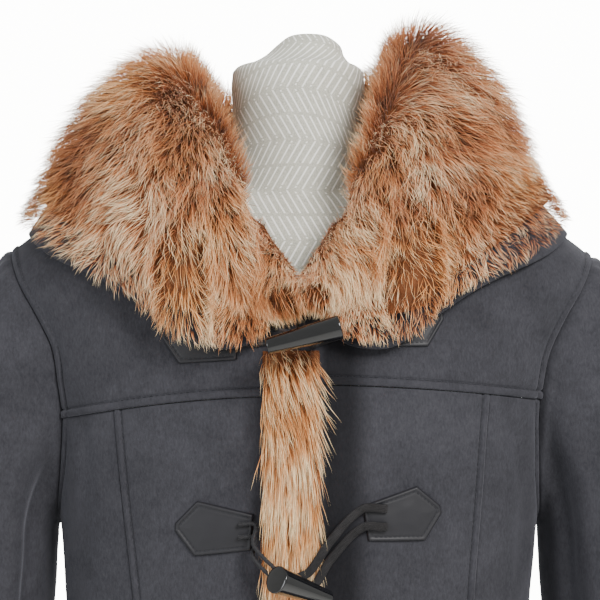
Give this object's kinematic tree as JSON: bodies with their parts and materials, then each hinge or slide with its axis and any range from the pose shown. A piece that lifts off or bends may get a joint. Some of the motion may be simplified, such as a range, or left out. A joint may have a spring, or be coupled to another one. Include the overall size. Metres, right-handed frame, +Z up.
{
  "type": "hooded winter coat on a dress form",
  "caption": "Dark brushed-cloth winter coat with its fur-lined hood folded down, fur front edge, toggle closures on leather patches, worn by a limbless dress form on a pole stand.",
  "frame": {"origin": "centre of the stand base's underside, on the floor", "axes": "+Z up along the pole, the coat's front faces -Y, +X towards the viewer's right when facing the front"},
  "size_m": [0.6056, 0.3839, 1.5128],
  "materials": {
    "cloth": "brushed, matte",
    "fur": "long pile faux fur",
    "jersey": "flecked knit jersey with light dashes",
    "leather": "semi-gloss grained",
    "cord": "twisted cord",
    "toggle": "polished horn-like plastic",
    "stand": "satin black"
  },
  "bodies": {
    "root": {"back": "cloth", "centre_front_L": "cloth", "centre_front_R": "cloth", "cord_L_1": "cord", "cord_L_2": "cord", "cord_L_3": "cord", "cord_L_4": "cord", "dress_form": "jersey", "front_fur_band": "fur", "hood_fur_L": "fur", "hood_fur_R": "fur", "hood_pouch": "cloth", "hood_shell_L": "cloth", "hood_shell_R": "cloth", "loop_R_1": "leather", "loop_R_2": "leather", "loop_R_3": "leather", "loop_R_4": "leather", "patch_L_1": "leather", "patch_L_2": "leather", "patch_L_3": "leather", "patch_L_4": "leather", "patch_R_1": "leather", "patch_R_2": "leather", "patch_R_3": "leather", "patch_R_4": "leather", "side_front_L": "cloth", "side_front_R": "cloth", "sleeve_L": "cloth", "sleeve_R": "cloth", "stand_base": "stand", "stand_pole": "stand", "toggle_1": "toggle", "toggle_2": "toggle", "toggle_3": "toggle", "toggle_4": "toggle", "yoke_L": "cloth", "yoke_R": "cloth"}
  },
  "joints": []
}
